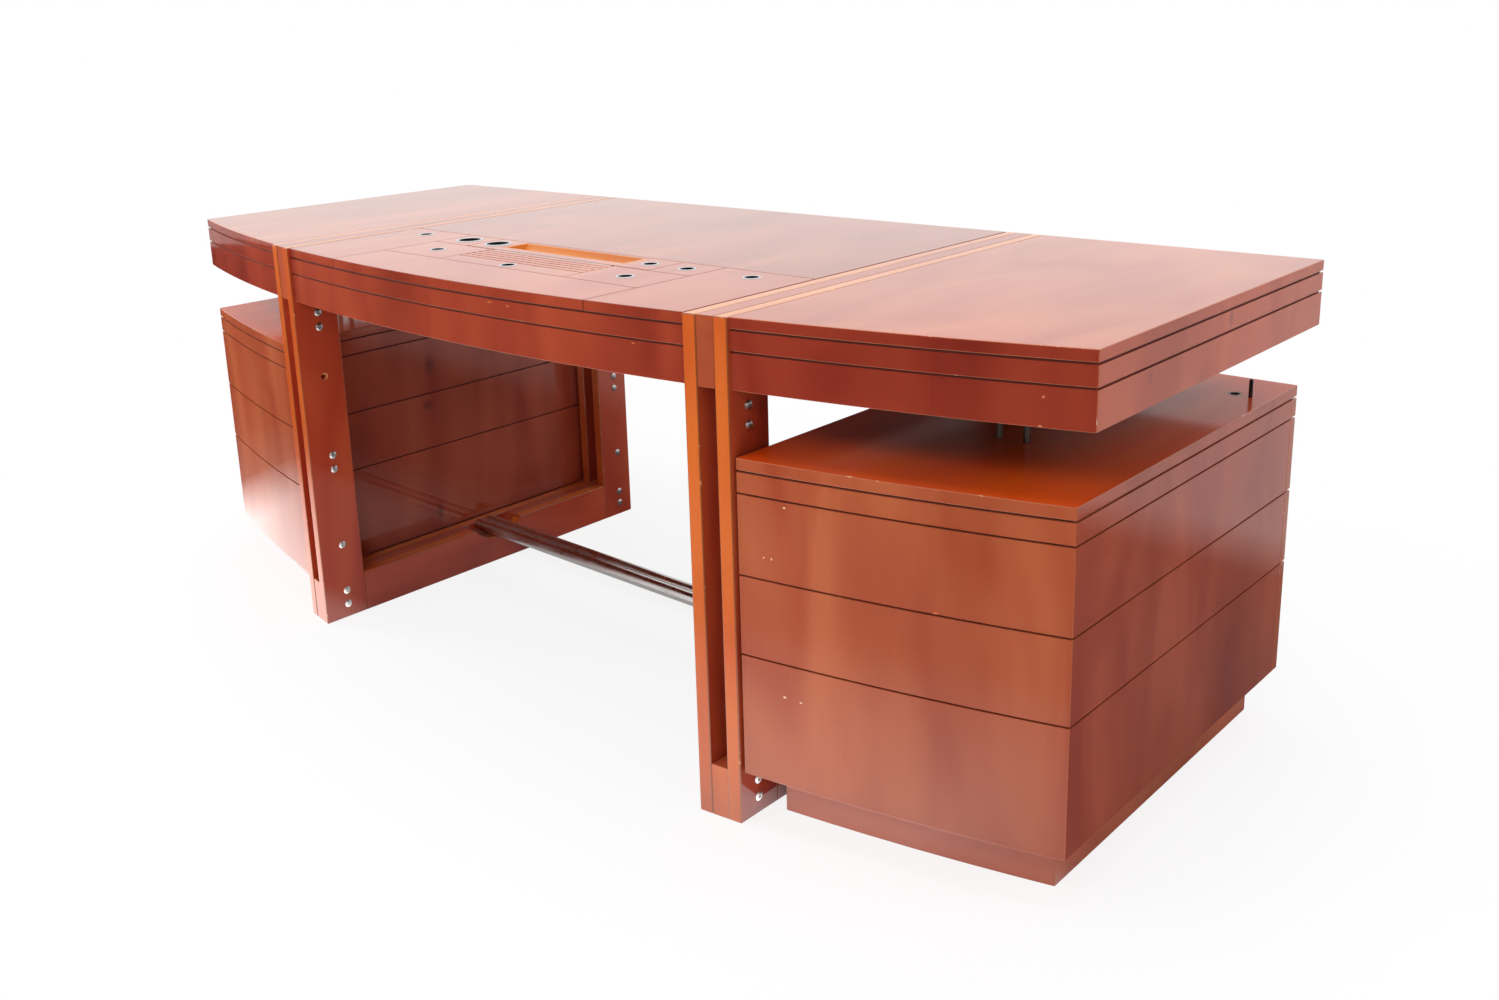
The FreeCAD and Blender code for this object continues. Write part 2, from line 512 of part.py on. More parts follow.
LID_END = "(lid_half - seam / 2)"
LID_Y = (f"({HATCH_FRONT} + seam / 2)", f"({HATCH_MID} - hinge_gap)")
LID_RING_Y = f"{LID_Y[0]} + ring_edge"
FIRST_SLAT = (f"{LID_Y[0]} + slat_front", f"{LID_Y[0]} + slat_front + slat_groove")


def lid_outline(y):
    """Corners of a rectangle as wide as the lid."""
    return [(f"-{LID_END}", y[0]), (LID_END, y[0]), (LID_END, y[1]), (f"-{LID_END}", y[1])]


lid = doc.addObject("PartDesign::Body", "lid_board")
lid_face = draw(lid, "XY_Plane", lid_outline(LID_Y))
lid_face.setExpression("AttachmentOffset.Base.z", in_sheet(SLAB_UNDER))
lid_board = lid.newObject("PartDesign::Pad", "thickness")
lid_board.Profile = lid_face
lid_board.setExpression("Length", in_sheet("slab"))
slat_line = draw(lid, "XY_Plane", lid_outline(FIRST_SLAT))
slat_line.setExpression("AttachmentOffset.Base.z", in_sheet(TOP))
slat_cut = lid.newObject("PartDesign::Pocket", "slat_gap")
slat_cut.Profile = slat_line
slat_cut.setExpression("Length", in_sheet("slat_depth"))
doc.recompute()
if slat_cut.Shape.Volume >= lid_board.Shape.Volume:
    raise RuntimeError("the first slat groove cut nothing")
slats = lid.newObject("PartDesign::LinearPattern", "slats")
slats.Originals = [slat_cut]
slats.Direction = (slat_line, ["V_Axis"])
slats.setExpression("Length", in_sheet(f"{LID_Y[1]} - slat_back - slat_groove - ({FIRST_SLAT[0]})"))
slats.setExpression("Occurrences", in_sheet("slat_count"))
lid.Tip = slats
node("slatted_lid", combine("Cut", lid, board_hole("0", LID_RING_Y, "ring_sleeve")))
node("lid_ring", bush("0", LID_RING_Y, "ring"))

# Piano hinge in the seam behind the lid: two leaves, shared knuckles and a pin just under the surface.
HINGE_HALF = f"({LID_END} - hinge_end)"
HINGE_SPAN = (f"-{HINGE_HALF}", HINGE_HALF)
HINGE_Z = f"({TOP} - knuckle / 2)"
LEAF_TOP = f"({TOP} - knuckle - hinge_fit)"
KNUCKLES = 5


def hinge_leaf(y, own):
    """A leaf let against a board's edge, with a tab and a tube at each knuckle of its own."""
    leaf = block(HINGE_SPAN, y, (f"{SLAB_UNDER} + hinge_leaf", LEAF_TOP))
    for index in own:
        x = (f"-{HINGE_HALF} + 2 * {HINGE_HALF} * {index} / {KNUCKLES} + hinge_fit",
             f"-{HINGE_HALF} + 2 * {HINGE_HALF} * {index + 1} / {KNUCKLES} - hinge_fit")
        tab = block(x, y, (LEAF_TOP, HINGE_Z))
        leaf = combine("Fuse", leaf, tab, rod("x", x, HATCH_MID, HINGE_Z, "knuckle"))
    return combine("Cut", leaf, rod("x", HINGE_SPAN, HATCH_MID, HINGE_Z, "hinge_pin + 2 * hinge_fit"))


fixed_y = (f"{HATCH_MID} + hinge_gap - hinge_leaf", f"{HATCH_MID} + hinge_gap")
moving_y = (f"{HATCH_MID} - hinge_gap", f"{HATCH_MID} - hinge_gap + hinge_leaf")
hinge_pin = rod("x", HINGE_SPAN, HATCH_MID, HINGE_Z, "hinge_pin")
node("hinge_fixed_leaf", hinge_leaf(fixed_y, range(0, KNUCKLES, 2)), hinge_pin)
node("hinge_lid_leaf", hinge_leaf(moving_y, range(1, KNUCKLES, 2)))

# Wells under the hatches: walls that the hatches rest on, and a floor under the near row.
# The far row has no floor, so cables from its rings and ports hang straight down.
WELL_Z = (f"{SLAB_UNDER} - well_depth", SLAB_UNDER)
WELL_END = f"({HATCH_HALF} + well_wall / 2)"


def wall(place):
    """A wall centred under a seam, so that the boards on both sides rest on it."""
    return (f"({place} - well_wall / 2)", f"({place} + well_wall / 2)")


front_wall, middle_wall, back_wall = (wall(place) for place in (HATCH_FRONT, HATCH_MID, HATCH_BACK))
left_wall, right_wall = wall(f"-{HATCH_HALF}"), wall(HATCH_HALF)
well = [block((f"-{WELL_END}", WELL_END), y, WELL_Z) for y in (front_wall, back_wall)]
well.append(block((left_wall[1], right_wall[0]), middle_wall, WELL_Z))
for x in (left_wall, right_wall):
    well.append(block(x, (front_wall[1], back_wall[0]), WELL_Z))
for x in (wall("-lid_half"), wall("lid_half")):
    well.append(block(x, (front_wall[1], middle_wall[0]), WELL_Z))
well.append(block((f"-{WELL_END}", WELL_END), (front_wall[0], middle_wall[1]),
                  (f"{WELL_Z[0]} - well_floor", WELL_Z[0])))
node("hatch_wells", *well)

doc.recompute()
failed = [thing.Label for thing in doc.Objects if {"Invalid", "Error"} & set(thing.State)]
for label, piece in nodes.items():
    if piece.Shape.isNull() or not piece.Shape.isValid() or not piece.Shape.Solids:
        failed.append(label)
if failed:
    raise RuntimeError("failed: " + ", ".join(failed))

os.makedirs("parts", exist_ok=True)
for label, piece in nodes.items():
    piece.Shape.exportStep(f"parts/{label}.step")
print(len(nodes), "nodes,", sum(len(piece.Shape.Solids) for piece in nodes.values()), "solids")
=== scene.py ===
import json
from math import cos, pi, radians

import bmesh
import bpy
from mathutils import Matrix, Vector
from mathutils.bvhtree import BVHTree

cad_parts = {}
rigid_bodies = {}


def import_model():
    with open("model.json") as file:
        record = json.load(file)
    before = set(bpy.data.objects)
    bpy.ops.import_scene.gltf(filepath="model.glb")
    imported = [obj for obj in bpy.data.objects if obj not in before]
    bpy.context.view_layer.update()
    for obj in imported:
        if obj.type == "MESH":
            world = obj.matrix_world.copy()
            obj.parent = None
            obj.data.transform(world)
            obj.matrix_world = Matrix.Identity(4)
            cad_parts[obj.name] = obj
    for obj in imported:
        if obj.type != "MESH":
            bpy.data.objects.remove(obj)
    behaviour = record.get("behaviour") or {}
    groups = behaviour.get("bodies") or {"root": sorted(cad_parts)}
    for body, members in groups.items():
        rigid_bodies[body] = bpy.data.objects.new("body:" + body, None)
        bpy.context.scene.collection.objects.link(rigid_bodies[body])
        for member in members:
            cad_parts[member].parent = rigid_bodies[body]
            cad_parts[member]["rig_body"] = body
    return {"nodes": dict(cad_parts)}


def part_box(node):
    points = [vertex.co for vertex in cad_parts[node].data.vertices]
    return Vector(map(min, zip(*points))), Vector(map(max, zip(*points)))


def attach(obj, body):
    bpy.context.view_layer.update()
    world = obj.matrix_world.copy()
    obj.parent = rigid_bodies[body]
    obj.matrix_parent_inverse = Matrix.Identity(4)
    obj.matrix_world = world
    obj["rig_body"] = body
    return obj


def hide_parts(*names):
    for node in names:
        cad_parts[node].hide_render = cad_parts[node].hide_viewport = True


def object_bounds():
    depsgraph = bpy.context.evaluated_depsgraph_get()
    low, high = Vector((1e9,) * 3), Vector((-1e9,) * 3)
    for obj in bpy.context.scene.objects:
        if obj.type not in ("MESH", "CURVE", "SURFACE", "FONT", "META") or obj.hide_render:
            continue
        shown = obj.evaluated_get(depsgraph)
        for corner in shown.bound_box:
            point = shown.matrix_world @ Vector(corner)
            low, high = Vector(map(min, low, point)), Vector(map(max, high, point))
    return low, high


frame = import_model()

cad_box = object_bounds()

# Leg frames. Each is a pair of cherry leaves a slot apart, with posts and rails glued flush into one frame.
# Fillers close the slot at the top and at the foot. The broad sides are stained red, and the narrow edges
# show the honey colour of solid wood under the lacquer.

MM = 0.001
nodes = frame["nodes"]


def linear(hex_colour):
    """An sRGB hex colour as the linear colour that shader sockets take."""
    parts = [int(hex_colour[at:at + 2], 16) / 255 for at in (1, 3, 5)]
    return tuple(part / 12.92 if part < 0.04045 else ((part + 0.055) / 1.055) ** 2.4 for part in parts) + (1,)


def add(tree, kind, inputs=(), **settings):
    """Add a shader node, and fill its sockets with plain values or with other nodes' outputs."""
    added = tree.nodes.new("ShaderNode" + kind)
    for name, value in settings.items():
        setattr(added, name, value)
    for socket, value in dict(inputs).items():
        if isinstance(value, bpy.types.NodeSocket):
            tree.links.new(value, added.inputs[socket])
        else:
            added.inputs[socket].default_value = value
    return added


def start_finish(name, **sockets):
    """A new material, with the values that are the same all over set on its shader."""
    finish = bpy.data.materials.new(name)
    finish.use_nodes = True
    shader = finish.node_tree.nodes["Principled BSDF"]
    for socket, value in sockets.items():
        shader.inputs[socket.replace("_", " ")].default_value = value
    return finish, finish.node_tree, shader


# Clear polyester lacquer, sprayed thick and polished: one sharp coat, with hardly any sheen from the wood.
GLOSS = {"Roughness": 0.4, "Specular_IOR_Level": 0.05, "Coat_Weight": 1.0, "Coat_Roughness": 0.06,
         "Coat_IOR": 1.47}
ALONG_X, ALONG_Y, ALONG_Z = 0, 1, 2
# Sockets of a Mix node for colours: its two colours and its result.
COLOUR_A, COLOUR_B, COLOUR_OUT = 6, 7, 2
# Widths across and along the grain. Real pores are a few tenths of a millimetre apart, so they are drawn
# coarser, about 2 mm apart, to show.
CLOUDS_MM, DRIFT_MM, PORES_MM = (120, 420), (420, 1100), (2.2, 70)


def veneer(name, grain, dark, light, gloss=GLOSS):
    """Wood veneer under a finish: cloudy bands that run along the grain, slow drifts of tone from leaf to
    leaf, and fine pore lines."""
    finish, tree, shader = start_finish(name, **gloss)
    place = add(tree, "TexCoord").outputs["Object"]

    def along_grain(sizes_mm, detail, swirl, limits, tones, tilt=0.0):
        scale = [1 / (sizes_mm[0] * MM)] * 3
        scale[grain] = 1 / (sizes_mm[1] * MM)
        spread = add(tree, "Mapping", {"Vector": place, "Scale": scale, "Rotation": (tilt, tilt, tilt)})
        noise = add(tree, "TexNoise", {"Vector": spread.outputs["Vector"], "Scale": 1.0, "Detail": detail,
                                       "Distortion": swirl})
        toned = add(tree, "MapRange", {"Value": noise.outputs["Fac"], "From Min": limits[0],
                                       "From Max": limits[1], "To Min": tones[0], "To Max": tones[1]})
        return toned.outputs["Result"]

    clouds = along_grain(CLOUDS_MM, 1.5, 0.9, (0.3, 0.7), (0.0, 1.0), 0.35)
    drift = along_grain(DRIFT_MM, 1.0, 0.4, (0.35, 0.65), (0.86, 1.1))
    pores = along_grain(PORES_MM, 3.0, 0.0, (0.3, 0.7), (0.96, 1.02))
    tone = add(tree, "Mix", {0: clouds, COLOUR_A: linear(dark), COLOUR_B: linear(light)}, data_type="RGBA")
    depth = add(tree, "Math", {0: drift, 1: pores}, operation="MULTIPLY")
    colour = add(tree, "VectorMath", {0: tone.outputs[COLOUR_OUT], "Scale": depth.outputs["Value"]},
                 operation="SCALE")
    tree.links.new(colour.outputs["Vector"], shader.inputs["Base Color"])
    return finish


CHIP_MM = 14


def arris(name, stain, bare):
    """An edge where the lacquer is rubbed thin: paler than the face, with small bare chips here and there."""
    finish, tree, shader = start_finish(name, Roughness=0.3, Coat_Weight=0.6, Coat_Roughness=0.1)
    place = add(tree, "TexCoord").outputs["Object"]
    rub = add(tree, "TexNoise", {"Vector": place, "Scale": 1 / (CHIP_MM * MM), "Detail": 3.0})
    chips = add(tree, "MapRange", {"Value": rub.outputs["Fac"], "From Min": 0.66, "From Max": 0.7})
    tone = add(tree, "Mix", {0: chips.outputs["Result"], COLOUR_A: linear(stain), COLOUR_B: linear(bare)},
               data_type="RGBA")
    tree.links.new(tone.outputs[COLOUR_OUT], shader.inputs["Base Color"])
    return finish


MICRON, WELD, FLAT_ANGLE = MM * MM, 0.005 * MM, radians(0.3)


def solids(name):
    """The closed solids of a CAD node, each as a bmesh whose corners are merged and flat faces joined."""
    data = nodes[name].data
    found, faces, unpaired = [], [], set()
    for face in data.polygons:
        corners = [data.vertices[index].co for index in face.vertices]
        places = [tuple(round(value / MICRON) for value in corner) for corner in corners]
        faces.append(corners)
        for edge in zip(places, places[1:] + places[:1]):
            if edge[::-1] in unpaired:
                unpaired.remove(edge[::-1])
            else:
                unpaired.add(edge)
        if not unpaired:
            board = bmesh.new()
            for corners in faces:
                board.faces.new([board.verts.new(corner) for corner in corners])
            bmesh.ops.remove_doubles(board, verts=board.verts, dist=WELD)
            bmesh.ops.dissolve_limit(board, angle_limit=FLAT_ANGLE, verts=board.verts, edges=board.edges)
            board.normal_update()
            found.append(board)
            faces = []
    return found


JOINT_REACH = 0.3 * MM


def runs_on(edge, neighbours):
    """Whether a face of the board runs on over a neighbour at this edge, as veneer does over a joint."""
    middle = (edge.verts[0].co + edge.verts[1].co) / 2
    first, second = (face.normal for face in edge.link_faces)
    for probe in (middle + (first - second) * JOINT_REACH, middle + (second - first) * JOINT_REACH):
        for tree in neighbours:
            near, normal = tree.find_nearest(probe, 3 * JOINT_REACH)[:2]
            if near and (probe - near).dot(normal) < 0:
                return True
    return False


SMOOTH_ANGLE = radians(50)


def place_piece(name, shape, finishes, node, stands_for=True):
    """Turn a bmesh into a piece that moves with a CAD node's body, and stands for the node or joins it."""
    for edge in shape.edges:
        edge.smooth = edge.is_manifold and edge.calc_face_angle() < SMOOTH_ANGLE
    mesh = bpy.data.meshes.new(name)
    shape.to_mesh(mesh)
    shape.free()
    for finish in finishes:
        mesh.materials.append(finish)
    piece = bpy.data.objects.new(name, mesh)
    bpy.context.scene.collection.objects.link(piece)
    piece.modifiers.new("even_normals", "WEIGHTED_NORMAL").keep_sharp = True
    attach(piece, nodes[node]["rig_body"])
    if stands_for:
        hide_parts(node)
    return piece


def joined(shapes):
    """One bmesh of several."""
    whole = bmesh.new()
    for shape in shapes:
        part = bpy.data.meshes.new("part")
        shape.to_mesh(part)
        whole.from_mesh(part)
        bpy.data.meshes.remove(part)
        shape.free()
    return whole


# The order of the finishes on a leaf. Other boards share the first three or four places.
FACE, ARRIS, GROOVE, EDGE, STRIP, BARE = range(6)
# How far a face's normal leans to an axis for the face to count as turned that way, and as roughly level.
TURNED, LEVEL = 0.7, 0.5
SHARP_ANGLE, SHORTEST_EDGE = radians(30), 3 * MM


def eased(names, finishes, ease_mm, choose=None):
    """Copies of boards that are glued together, with every free edge eased and given the second finish."""
    boards = [(name, board) for name in names for board in solids(name)]
    trees = [BVHTree.FromBMesh(board) for name, board in boards]
    shapes = {name: [] for name in names}
    for at, (name, board) in enumerate(boards):
        for face in board.faces:
            face.smooth = True
            face.material_index = choose(face) if choose else FACE
        neighbours = trees[:at] + trees[at + 1:]
        free = [edge for edge in board.edges
                if edge.is_manifold and edge.is_convex and edge.calc_face_angle() > SHARP_ANGLE
                and edge.calc_length() > SHORTEST_EDGE
                and GROOVE not in [face.material_index for face in edge.link_faces]
                and not runs_on(edge, neighbours)]
        rounds = bmesh.ops.bevel(board, geom=free, offset=ease_mm * MM, offset_type="OFFSET", affect="EDGES",
                                 segments=2, profile=0.5, material=-1, clamp_overlap=True)
        for face in rounds["faces"]:
            face.smooth = True
            face.material_index = ARRIS
        shapes[name].append(board)
    pieces = [place_piece(name + "_eased", joined(shapes[name]), finishes, name) for name in names]
    # The sill of a groove is lacquered like the face, and only its back and its roof are stained dark, a
    # stain that is partly painted shade.
    for piece in pieces:
        for face in piece.data.polygons:
            if face.material_index == GROOVE and face.normal.z > LEVEL:
                face.material_index = FACE
    return pieces


# Red-stained cherry, with upright bands on the posts and level ones on the rails. The left front posts get a
# lighter copy of the upright veneer, which is painted light on them.
frame_upright = veneer("cherry_frame_upright", ALONG_Z, "#9C3521", "#BA502F")
frame_level = veneer("cherry_frame_level", ALONG_Y, "#A43824", "#C05232")
painted_lit_upright = veneer("cherry_frame_upright_painted_lit", ALONG_Z, "#B23C26", "#D05A36")
filler_cherry = veneer("cherry_filler", ALONG_Y, "#A0412A", "#B65836")
# Unstained cherry under the same lacquer: orange on the fronts, and paler in the strips along the top.
honey_edge = veneer("cherry_edge_honey", ALONG_Z, "#BE5220", "#CE692C")
honey_strip = veneer("cherry_strip_honey", ALONG_Y, "#CC7438", "#E08E4E")
# Cherry cut after lacquering: pale and matt in the mouth of a hole.
bare_wood = veneer("cherry_bare", ALONG_Y, "#D79A60", "#E8B680", {"Roughness": 0.6})
# Rubbed edges: a fine pale line along stained boards, and a browner one along honey edges.
rubbed_arris = arris("rubbed_arris", "#B25A34", "#DDAE8A")
honey_arris = arris("honey_arris", "#9A4C1C", "#C98A54")
# Dark stain without lacquer, partly painted shade in the grooves: a matt line with no reflections.
groove_stain_and_shade = veneer("groove_stain_and_shade", ALONG_Y, "#6C2B1D", "#7E3727", {"Roughness": 0.5})
SPARE_HOLE = Vector((-350 * MM, 496 * MM))
SPARE_MOUTH, SPARE_BORE, SPARE_SLACK = 7 * MM, 3.5 * MM, 0.2 * MM
SCOOP_REACH = 200 * MM
RAIL_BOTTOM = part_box("left_top_rails")[0].z
LEAF_EASE_MM, FILLER_EASE_MM = 1.8, 0.6


def is_end(face):
    """Whether a face is a front or rear edge of a frame, and not part of a scoop round the tubes."""
    return abs(face.normal.y) > TURNED and abs(face.calc_center_median().y) > SCOOP_REACH


def leaf_face(face):
    """Broad sides and scoops are stained, edges are honey, and the spare hole's mouth is bare."""
    middle = face.calc_center_median()
    if SPARE_BORE + SPARE_SLACK < (middle.yz - SPARE_HOLE).length < SPARE_MOUTH + SPARE_SLACK:
        return BARE
    if face.normal.z > TURNED:
        return STRIP if middle.z > RAIL_BOTTOM else EDGE
    return EDGE if is_end(face) else FACE


def filler_face(face):
    """The ends of a low filler match the edges of the leaves beside it; a high one is stained all over."""
    return EDGE if face.calc_center_median().z < RAIL_BOTTOM and is_end(face) else FACE


frame_finishes = [frame_upright, honey_arris, groove_stain_and_shade, honey_edge, honey_strip, bare_wood]
for side in ("left", "right"):
    frame_boards = [f"{side}_{part}" for part in ("front_posts", "rear_posts", "foot_rails", "top_rails")]
    for piece in eased(frame_boards, frame_finishes, LEAF_EASE_MM, leaf_face):
        if "rails" in piece.name:
            piece.data.materials[FACE] = frame_level
        # The left front posts take the lighter copy of the veneer, as painted light.
        if piece.name.startswith("left_front"):
            piece.data.materials[FACE] = painted_lit_upright
eased(["frame_fillers"], [filler_cherry] + frame_finishes[1:], FILLER_EASE_MM, filler_face)

# Bolts. Zinc-plated steel connector bolts that draw the two leaves of a frame together, with a low domed head
# and a hex socket at each end. Each is turned about its axis and laid between the ends of its solid.


def turned(profile, steps):
    """A round piece about the Z axis: its half section, as radius and height, spun through a full turn."""
    piece = bmesh.new()
    corners = [piece.verts.new((radius, 0, height)) for radius, height in profile]
    lines = [piece.edges.new(pair) for pair in zip(corners, corners[1:])]
    bmesh.ops.spin(piece, geom=corners + lines, cent=(0, 0, 0), axis=(0, 0, 1), angle=2 * pi, steps=steps,
                   use_merge=True)
    bmesh.ops.remove_doubles(piece, verts=piece.verts, dist=0.01 * MM)
    bmesh.ops.recalc_face_normals(piece, faces=piece.faces)
    for face in piece.faces:
        face.smooth = True
    return piece


def span(shape):
    """The lowest and highest corner of a bmesh."""
    axes = list(zip(*(corner.co for corner in shape.verts)))
    return Vector(map(min, axes)), Vector(map(max, axes))


def lay_along_x(piece, low, high):
    """Turn a round piece from the Z axis to the X axis, and bring it to the middle of two corners."""
    bmesh.ops.rotate(piece, verts=piece.verts, cent=(0, 0, 0), matrix=Matrix.Rotation(radians(90), 3, "Y"))
    bmesh.ops.translate(piece, verts=piece.verts, vec=(low + high) / 2)


CLEARER, HAZIER = 0.7, 1.4


def metal(name, colour, roughness, smudge_mm):
    """Polished or plated metal, with faint smudges that blur its reflections."""
    finish, tree, shader = start_finish(name, Metallic=1.0, Base_Color=linear(colour))
    place = add(tree, "TexCoord").outputs["Object"]
    smudge = add(tree, "TexNoise", {"Vector": place, "Scale": 1 / (smudge_mm * MM), "Detail": 2.0})
    haze = add(tree, "MapRange", {"Value": smudge.outputs["Fac"], "From Min": 0.3, "From Max": 0.7,
                                  "To Min": roughness * CLEARER, "To Max": roughness * HAZIER})
    tree.links.new(haze.outputs["Result"], shader.inputs["Roughness"])
    return finish


# Zinc plate, as it leaves the bath: silvery, with soft grey highlights on the domes.
zinc_plate = metal("zinc_plate", "#C8C6C4", 0.3, 9)
HEAD_RADIUS, HEAD_RIM, HEAD_HEIGHT = 7.5 * MM, 0.7 * MM, 2.5 * MM
SHANK_RADIUS, SOCKET_RADIUS, SOCKET_DEPTH = 4 * MM, 2.9 * MM, 1.8 * MM
# Points of the dome, as radius and drop below its crown.
DOME = ((SOCKET_RADIUS, 0.15 * MM), (4.4 * MM, 0.3 * MM), (6.2 * MM, 0.95 * MM))
BOLT_STEPS, SOCKET_SLACK = 24, 0.1 * MM
HEX_TURN, HEX_HALF = radians(60), radians(30)


def bolt(low, high):
    """One bolt between the two ends of its CAD solid, with a domed head at both."""
    reach = (high.x - low.x) / 2
    seat = reach - HEAD_HEIGHT
    half = [(0, reach - SOCKET_DEPTH), (SOCKET_RADIUS, reach - SOCKET_DEPTH)]
    half += [(radius, reach - drop) for radius, drop in DOME]
    half += [(HEAD_RADIUS, seat + HEAD_RIM), (HEAD_RADIUS, seat), (SHANK_RADIUS, seat)]
    piece = turned(half + [(radius, -height) for radius, height in reversed(half)], BOLT_STEPS)
    for corner in piece.verts:
        out = Vector((corner.co.x, corner.co.y))
        if SOCKET_SLACK < out.length < SOCKET_RADIUS + SOCKET_SLACK:
            turn = Vector((1, 0)).angle_signed(out) % HEX_TURN - HEX_HALF
            corner.co.xy = out * (cos(HEX_HALF) / cos(turn))
    lay_along_x(piece, low, high)
    return piece


bolts = joined([bolt(*span(shape)) for shape in solids("frame_bolts")])
place_piece("frame_bolts_domed", bolts, [zinc_plate], "frame_bolts")

# Stretcher. Two chromed steel tubes side by side, which tie the frames together and serve as a foot rest.
# They lie in the scoops of the foot rails and butt against the outer leaves.

# Chrome plate dulled by shoes: grey reflections with blurred edges.
worn_chrome = metal("chrome_plate_worn", "#CECAC8", 0.3, 60)
TUBE_WALL, TUBE_STEPS = 2 * MM, 64


def tube(low, high):
    """A tube along X as long as its CAD solid."""
    reach, outer = (high.x - low.x) / 2, (high.z - low.z) / 2
    inner = outer - TUBE_WALL
    profile = [(outer, -reach), (outer, reach), (inner, reach), (inner, -reach), (outer, -reach)]
    piece = turned(profile, TUBE_STEPS)
    lay_along_x(piece, low, high)
    return piece


tubes = joined([tube(*span(shape)) for shape in solids("stretcher_tubes")])
place_piece("stretcher_tubes_chromed", tubes, [worn_chrome], "stretcher_tubes")

# Aprons of the top. Veneered boards, bent along the bow at the front, with two shadow grooves that run round
# the whole top. The veneer runs upright, the grooves are stained dark with partly painted shade, and soffits
# close the wings below.

HALF_LENGTH, BOW_FRONT, BOW_RISE = 1050 * MM, -430 * MM, 155 * MM
BOW_RADIUS = (HALF_LENGTH ** 2 + BOW_RISE ** 2) / (2 * BOW_RISE)
BOW_CENTRE = Vector((0, BOW_FRONT + BOW_RADIUS, 0))
GROOVE_SIZE, GROOVE_SLACK = 3 * MM, 0.1 * MM
TOP_GROOVES = (731 * MM, 699.5 * MM)


def groove_face(lines):
    """Picks the faces inside the shadow grooves at the given heights."""
    def choose(face):
        height = face.calc_center_median().z
        heights = [corner.co.z for corner in face.verts]
        tall = abs(face.normal.z) < LEVEL and max(heights) - min(heights) > 2 * GROOVE_SIZE
        inside = any(line - GROOVE_SLACK < height < line + GROOVE_SIZE + GROOVE_SLACK for line in lines)
        return GROOVE if inside and not tall else FACE
    return choose


def groove_or_end(lines):
    """Picks the faces inside the grooves, and the sides that have a veneer of their own."""
    def choose(face):
        found = groove_face(lines)(face)
        return EDGE if found != GROOVE and abs(face.normal.x) > TURNED else found
    return choose


def on_bow(x_mm, z_mm):
    """A place on the bowed fronts, by its distance from the middle of the desk and its height."""
    x = x_mm * MM
    return Vector((x, BOW_CENTRE.y - (BOW_RADIUS ** 2 - x ** 2) ** 0.5, z_mm * MM))


MARK_STRENGTH = 0.85
CHIP_SOFT, KNOT_SOFT = 0.4, 1.0


def marked(finish, colour, marks, soft):
    """Colour a finish at small marks, each with a place and a size in millimetres, and with soft edges."""
    tree = finish.node_tree
    target = tree.nodes["Principled BSDF"].inputs["Base Color"]
    place = add(tree, "TexCoord").outputs["Object"]
    for middle, size_mm in marks:
        offset = add(tree, "VectorMath", {0: place, 1: middle}, operation="SUBTRACT")
        inside = add(tree, "VectorMath", {0: offset.outputs["Vector"], 1: Vector(size_mm) * MM / 2},
                     operation="DIVIDE")
        away = add(tree, "VectorMath", {0: inside.outputs["Vector"]}, operation="LENGTH")
        strength = add(tree, "MapRange", {"Value": away.outputs["Value"], "From Min": 1 - soft,
                                          "To Min": MARK_STRENGTH, "To Max": 0.0})
        tone = add(tree, "Mix", {0: strength.outputs["Result"], COLOUR_A: target.links[0].from_socket,
                                 COLOUR_B: linear(colour)}, data_type="RGBA")
        tree.links.new(tone.outputs[COLOUR_OUT], target)


# Upright veneer: deep red on the fronts, lighter on the ends, with a few orange knocks and two brown knots.
apron_cherry = veneer("cherry_apron", ALONG_Z, "#842E1F", "#A2432A")
wing_cherry = veneer("cherry_wing_apron", ALONG_Z, "#80291D", "#983B27")
wing_end_cherry = veneer("cherry_wing_end", ALONG_Z, "#AC482E", "#BE5A3C")
marked(apron_cherry, "#E08A50", [(on_bow(126, 726), (14, 6, 2)), (on_bow(167, 724), (10, 6, 2)),
                                 (on_bow(416, 697), (7, 6, 2))], CHIP_SOFT)
marked(wing_cherry, "#D98A5C", [(on_bow(990, 688), (5, 6, 4)), (on_bow(987, 652), (6, 6, 3))], CHIP_SOFT)
marked(wing_end_cherry, "#86382A", [(Vector((1050, 94, 721)) * MM, (20, 18, 30)),
                                    (Vector((1050, -141, 688)) * MM, (20, 16, 26))], KNOT_SOFT)
# Brown stain without lacquer, kept dark as painted shade under the wings: undersides stay dark, with no
# gloss.
under_stain_and_shade = veneer("underside_stain_and_shade", ALONG_Y, "#43190F", "#572416", {"Roughness": 0.5})
VENEER_EASE_MM, SOFFIT_EASE_MM = 0.8, 0.9
for name in ("front_apron", "rear_apron"):
    eased([name], [apron_cherry, rubbed_arris, groove_stain_and_shade], VENEER_EASE_MM, groove_face(TOP_GROOVES))
for name in ("left_wing_aprons", "right_wing_aprons"):
    eased([name], [wing_cherry, rubbed_arris, groove_stain_and_shade, wing_end_cherry], VENEER_EASE_MM,
          groove_or_end(TOP_GROOVES))
# The soffits are dark with the underside stain, which is partly painted shade.
eased(["wing_soffits"], [under_stain_and_shade, rubbed_arris], SOFFIT_EASE_MM)

# Pedestals. Carcases of veneered board with a bowed front, a set-back plinth and a top board laid on. Shadow
# grooves carry the lines of the drawers round the other three faces.

PEDESTAL_GROOVES = (536 * MM, 504.5 * MM, 385.5 * MM, 266.5 * MM)
